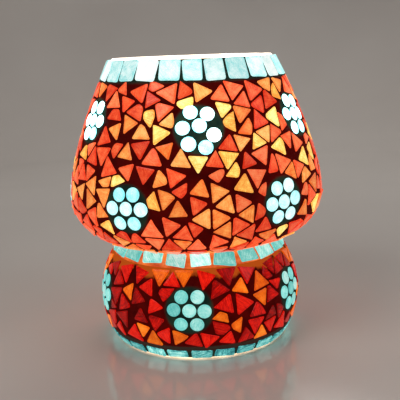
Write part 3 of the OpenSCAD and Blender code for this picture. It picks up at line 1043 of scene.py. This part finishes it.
def covered_cells(laid, lengths, places, columns):
    """The cells of a grout sheet, as (row, column), that lie under chips."""
    rows = len(lengths) - 1
    covered = set()
    for s0, a0, outline in laid:
        reach = max(math.hypot(x, y) for x, y in outline)
        first = int((s0 - reach - lengths[0]) / GROUT_STEP) - 1
        last = int((s0 + reach - lengths[0]) / GROUT_STEP) + 2
        for i in range(max(0, first), min(rows, last)):
            y = (lengths[i] + lengths[i + 1]) / 2 - s0
            r = (places[i][0] + places[i + 1][0]) / 2
            half = math.sqrt(max(0, reach * reach - y * y)) / r
            left = math.floor((a0 - half) / TAU * columns)
            for j in range(left, math.ceil((a0 + half) / TAU * columns) + 1):
                x = ((j + 0.5) / columns * TAU - a0) * r
                if inside(outline, x, y, GROUT_UNDER):
                    covered.add((i, j % columns))
    return covered


def grout_sheet(name, wall, low, high, laid, tint, columns):
    """Grout over a wall from low to high, left out under the chips, so that their backs show from inside."""
    rows = round((high - low) / GROUT_STEP)
    lengths = [low + (high - low) * i / rows for i in range(rows + 1)]
    places = [wall.at(s) for s in lengths]
    covered = covered_cells(laid, lengths, places, columns)
    points = []
    for s, (r, z, tilt, _) in zip(lengths, places):
        edge = min(s - low, high - s)
        lift = GROUT_LIFT * (1 - (1 - min(1, edge / 1.6)) ** 2)
        for j in range(columns):
            radial = outwards(TAU * j / columns)
            out = radial * math.cos(tilt) + Vector((0, 0, math.sin(tilt)))
            point = radial * r + Vector((0, 0, z))
            wave = 0.16 * noise.noise(point * 0.35) + 0.07 * noise.noise(point * 1.1)
            points.append(point + out * max(0.05, lift + wave * min(1, edge / 2)))
    faces = []
    for i in range(rows):
        this, above = i * columns, (i + 1) * columns
        for j in range(columns):
            if (i, j) not in covered:
                k = (j + 1) % columns
                faces.append((this + j, this + k, above + k, above + j))
    obj = mesh_object(name, points, faces, grout())
    tints = [tint(s, TAU * j / columns) for s in lengths for j in range(columns)]
    point_values(obj, "tint", "FLOAT_COLOR", tints)
    drop_loose_points(obj)
    return obj


def near_flower(wall, flowers, s, a):
    """1 in a flower's grout, falling to 0 just outside it."""
    best = 99.0
    for s0, degrees in flowers:
        best = min(best, math.hypot(s - s0, wall.across(s, a, degrees)))
    return held((FLOWER_R + 1.2 - best) / 1.5)


def make_shade_grout(laid):
    flowers = UPPER_FLOWERS + LOWER_FLOWERS
    top = SHADE.length - RIM_BAND

    def tint(s, a):
        green = max(held((s - top + 1) / 1.5), near_flower(SHADE, flowers, s, a))
        # the fourth value is painted light: the grout round the upper flowers glows brighter, close to the
        # bulb
        return green, 0.0, 0.0, 1 + 0.8 * near_flower(SHADE, UPPER_FLOWERS, s, a)

    obj = grout_sheet("shade_grout_bed", SHADE, BARE_LIP - 1.5, SHADE.length - 1.6, laid, tint, columns=460)
    put(obj, "shade", "grout", "shade_grout")


def cord_hole_middle():
    return BOWL.place(CORD_HOLE_S, math.pi) @ Vector((0, 0, -GLASS_WALL / 2))


def make_bowl_grout(laid):
    high = BOWL.length - WAIST_BAND - 0.5
    foot = FOOT_BAND + 0.2

    def tint(s, a):
        green = max(near_flower(BOWL, BOWL_FLOWERS, s, a), held(foot - s))
        # painted light: towards the waist the grout glows orange
        bare = held((s - high + 13) / 12)
        strip = held(min(s - foot + 0.3, (foot + FOOT_STRIP + 0.6 - s) / 0.8))
        return green, bare * (1 - green), strip, 1.0

    obj = grout_sheet("bowl_grout_bed", BOWL, 2.0, high, laid, tint, columns=400)
    open_hole(obj, cord_hole_middle(), 7.0)
    put(obj, "base", "grout", "base_grout")


def wall_faces(wall):
    """The blown wall's outer and inner faces as lists of (radius, height)."""
    count = int(wall.length / 1.6)
    lengths = [wall.length * i / count for i in range(count + 1)]
    return [[wall.off(s, lift) for s in lengths] for lift in (0.0, -GLASS_WALL)]


def shade_outline():
    """Closed outline of the shade's wall, with its turned-in lip at the bottom and a fire-rounded rim."""
    outer, inner = wall_faces(SHADE)
    lip = [(LIP_BORE_R + 0.3, SHADE_LIP_Z + GLASS_WALL), (LIP_BORE_R, SHADE_LIP_Z + GLASS_WALL / 2),
           (LIP_BORE_R + 0.4, SHADE_LIP_Z)]
    r, z = outer[-1]
    rim = [(r - 0.5, z - 0.05), (r - 1.2, z - 0.1), (r - 1.9, z - 0.6)]
    inner = [p for p in inner if p[1] > SHADE_LIP_Z + GLASS_WALL + 0.4]
    return lip + outer[:-1] + rim + inner[::-1]


def bowl_outline():
    """Closed outline of the bowl's wall, with its flat foot and its turned-in lip at the top."""
    outer, inner = wall_faces(BOWL)
    lip = [(LIP_BORE_R + 0.4, BOWL_LIP_Z), (LIP_BORE_R, BOWL_LIP_Z - GLASS_WALL / 2),
           (LIP_BORE_R + 0.3, BOWL_LIP_Z - GLASS_WALL)]
    foot = [(outer[0][0] - FOOT_FLAT, 0.0), (outer[0][0] - 0.4, 0.0)]
    inner = [p for p in inner if 1.8 < p[1] < BOWL_LIP_Z - GLASS_WALL - 0.4]
    return foot + outer[1:] + lip + inner[::-1]


def make_shade_glass():
    lip = (SHADE_LIP_Z, 9.0, 1.0, colour(255, 150, 118))
    rim = (TOP_Z, 4.5, 1.5, colour(255, 246, 226))
    obj = turned("blown_shade", shade_outline(), 192, blown_glass("shade_glass_clear", lip, rim))
    put(obj, "shade", "clear_glass", "shade_glass")


def make_bowl_glass():
    foot = (0.0, 4.0, 2.2, colour(255, 240, 206))
    lip = (BOWL_LIP_Z, 2.2, 1.0, colour(255, 170, 110))
    obj = turned("blown_bowl", bowl_outline(), 288, blown_glass("bowl_glass_clear", foot, lip))
    open_hole(obj, cord_hole_middle(), 5.0)
    put(obj, "base", "clear_glass", "base_glass")


def glowing_shoulder_bed():
    """Clear cement under the band at the waist, painted glowing orange where the lamp's light comes straight
    through.
    """
    finish = Finish("glowing_shoulder_bed", Roughness=0.3, IOR=1.5)
    cloud = finish.noise(75.0, 3.0)
    fine = finish.noise(600.0, 2.0)
    tint = finish.mix(finish.span(cloud, 0.35, 0.65), colour(176, 46, 10), colour(248, 128, 54))
    finish.set(
        Base_Color=finish.mix(0.5, tint, BLACK),
        Emission_Color=tint,
        Emission_Strength=finish.vary(fine, 0.75, 0.95),
    )
    finish.bump(fine, 0.3)
    return finish.material


def make_shoulder():
    low, high = BOWL.length - WAIST_BAND - 1.2, BOWL.length - 0.8
    outline = []
    for lift, lengths in ((1.1, (0, 0.1, 0.3, 0.5, 0.7, 0.9, 1)), (0.05, (1, 0.5, 0))):
        for t in lengths:
            outline.append(BOWL.off(low + (high - low) * t, lift * (1 if 0 < t < 1 else 0.4)))
    put(mesh_object("waist_cement", *lathe(outline, 192), glowing_shoulder_bed()), "base", "grout")


# -------- bulb and holder
def steps(low, high, step):
    count = max(1, round((high - low) / step))
    return [low + (high - low) * i / count for i in range(count + 1)]


def thread(depth, low, high):
    """Radius change of a rolled thread that runs from height low to high and fades at its ends."""
    def shape(r, z, a):
        fade = held(min(z - low, high - z) / 1.5)
        turn = (z / CAP_PITCH - a / TAU) % 1.0
        return r + depth * fade * (0.5 - 0.5 * math.cos(TAU * turn)) ** 0.8, z
    return shape


def make_globe():
    """Pear-shaped envelope that narrows into the screw cap."""
    low = GLOBE_LOW_Z
    neck_r = 11.9
    start = math.radians(-52)
    ball = [
        (max(0.0, GLOBE_R * math.cos(a)), GLOBE_Z + GLOBE_R * math.sin(a))
        for a in steps(start, math.pi / 2, 0.06)
    ]
    r, z = ball[0]
    neck = bezier((neck_r, low + 7), (neck_r, low + 19), (r - 10, z - 12), (r, z), 16)
    outline = [(0.0, low), (neck_r - 0.6, low), (neck_r, low + 0.6)] + neck[:-1] + ball
    put(turned("globe", outline, 96, bulb_glass(), true_edges=None), "bulb", "bulb_glass", "bulb_globe")


def make_screw_cap(material):
    low, high = box_mm("bulb_screw_cap")
    core = 12.35
    outline = [(12.1, low.z)] + [(core, z) for z in steps(low.z, low.z + 17, 0.3)]
    outline += [(core + 0.2, low.z + 18.4), (13.2, high.z - 0.6), (13.3, high.z), (12.1, high.z)]
    obj = turned("screw_cap", outline, 96, material, thread(0.7, low.z + 0.6, low.z + 16.5))
    put(obj, "bulb", "nickel", "bulb_screw_cap")


def make_thread_shell(material):
    low, high = box_mm("thread_shell")
    heights = steps(low.z, high.z, 0.35)
    outline = [(13.22, z) for z in heights] + [(13.55, z) for z in reversed(heights)]
    put(turned("thread_liner", outline, 96, material), "base", "brass", "thread_shell")


def make_filament():
    """Coiled wire between the tips of the two leads."""
    low, high = box_mm("bulb_filament")
    z = (low.z + high.z) / 2
    coil_r = 0.42
    wire_r = 0.1
    lead = 0.4
    per_turn = 10
    count = 46 * per_turn
    path = []
    for i in range(count + 1):
        a = TAU * i / per_turn
        x = low.x + lead + (high.x - low.x - 2 * lead) * i / count
        path.append(Vector((x, coil_r * math.sin(a), z + coil_r * math.cos(a))))
    points, faces = [], []
    sides = 5
    for i, p in enumerate(path):
        along = (path[min(i + 1, len(path) - 1)] - path[max(i - 1, 0)]).normalized()
        across = along.cross(Vector((1, 0, 0))).normalized()
        over = along.cross(across)
        for k in range(sides):
            a = TAU * k / sides
            points.append(p + (across * math.cos(a) + over * math.sin(a)) * wire_r)
    for i in range(len(path) - 1):
        for k in range(sides):
            j = (k + 1) % sides
            faces.append((i * sides + k, i * sides + j, (i + 1) * sides + j, (i + 1) * sides + k))
    put(mesh_object("filament_coil", points, faces, hot_wire()), "bulb", "filament", "bulb_filament")


def dress(material, slot, bevel, *nodes):
    """Gives CAD nodes that stay in view their material, and their true edges a small bevel."""
    for node in nodes:
        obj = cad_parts[node]
        obj.data.materials.clear()
        obj.data.materials.append(material)
        if bevel:
            rounding = obj.modifiers.new("edges", "BEVEL")
            rounding.width = bevel * MM
            rounding.segments = 2
            rounding.limit_method = "ANGLE"
            rounding.angle_limit = math.radians(40)


def make_hardware():
    steel_finish, brass_finish, nickel_finish = steel(), brass(), nickel()
    make_globe()
    make_screw_cap(nickel_finish)
    make_thread_shell(brass_finish)
    make_filament()
    dress(rubber(), "rubber", 0, "lower_neck_gasket", "upper_neck_gasket", "cord_grommet")
    dress(steel_finish, "steel", 0, "neck_ring")
    dress(steel_finish, "steel", 0.2, "holder_spider")
    dress(brass_finish, "brass", 0, "nipple")
    dress(brass_finish, "brass", 0.1, "centre_contact")
    dress(brass_finish, "brass", 0.25, "nipple_nut")
    dress(nickel_finish, "nickel", 0, "bulb_lead_wires")
    dress(nickel_finish, "nickel", 0.1, "nipple_washer", "terminal_screws")
    dress(nickel_finish, "nickel", 0.2, "spider_rivets")
    dress(nickel_finish, "nickel", 0.25, "bulb_tip_contact")
    dress(white_plastic(), "white_plastic", 0, "nipple_bush")
    dress(phenolic(), "phenolic", 0, "holder_cap", "holder_sleeve")
    dress(porcelain(), "porcelain", 0.25, "contact_block")
    dress(black_glass(), "black_glass", 0, "bulb_insulator")
    dress(stem_glass(), "bulb_glass", 0, "bulb_stem")


# -------- stage, lights and camera
def make_stage():
    """A round floor that curves up into a wall well outside every camera place."""
    flat, bend, top = 900.0, 600.0, 1700.0
    outline = [(r, 0.0) for r in (0.0, 200.0, 500.0, flat)]
    outline += [(flat + bend * math.sin(a), bend - bend * math.cos(a)) for a in steps(0.1, math.pi / 2, 0.1)]
    outline += [(flat + bend, top)]
    obj = mesh_object("floor", *lathe(outline, 96, closed=False), pale_floor())
    weld(obj)
    obj.data.flip_normals()
    show(obj)


def soft_light(name, place, size, power, tone):
    lamp = bpy.data.lights.new(name, "AREA")
    lamp.shape = "DISK"
    lamp.size = size
    lamp.energy = power
    lamp.color = tone
    obj = bpy.data.objects.new(name, lamp)
    obj.location = place
    obj.rotation_euler = (Vector((0, 0, 0.08)) - Vector(place)).to_track_quat("-Z", "Y").to_euler()
    show(obj)


def make_lights():
    soft_light("key", (-0.75, -0.75, 1.05), 0.7, 4.4, (1.0, 0.97, 0.94))
    soft_light("fill", (0.95, -0.45, 0.75), 0.9, 2.0, (0.94, 0.97, 1.0))
    soft_light("back", (0.2, 0.9, 0.95), 0.8, 2.5, (1.0, 0.96, 0.92))
    world = bpy.data.worlds.new("studio")
    world.use_nodes = True
    world.node_tree.nodes["Background"].inputs["Color"].default_value = (0.75, 0.75, 0.78, 1.0)
    world.node_tree.nodes["Background"].inputs["Strength"].default_value = 0.2
    bpy.context.scene.world = world


def make_camera():
    camera = bpy.data.cameras.new("camera")
    camera.lens = 65.4
    camera.sensor_width = 36.0
    camera.clip_start = 0.01
    obj = bpy.data.objects.new("camera", camera)
    place = (0.0023, -0.5162, 0.2047)
    down = math.radians(11.9)
    roll = math.radians(2.1)
    turn = Matrix.Rotation(math.pi / 2 - down, 4, "X") @ Matrix.Rotation(-roll, 4, "Z")
    obj.matrix_world = Matrix.Translation(place) @ turn
    show(obj)
    bpy.context.scene.camera = obj


def make_lamp():
    shade_laid = make_shade_chips()
    make_shade_grout(shade_laid)
    make_shade_glass()
    bowl_laid = make_bowl_chips()
    make_bowl_grout(bowl_laid)
    make_bowl_glass()
    make_shoulder()
    make_hardware()


make_lamp()
make_stage()
make_lights()
make_camera()
bpy.context.scene.view_settings.view_transform = "Standard"
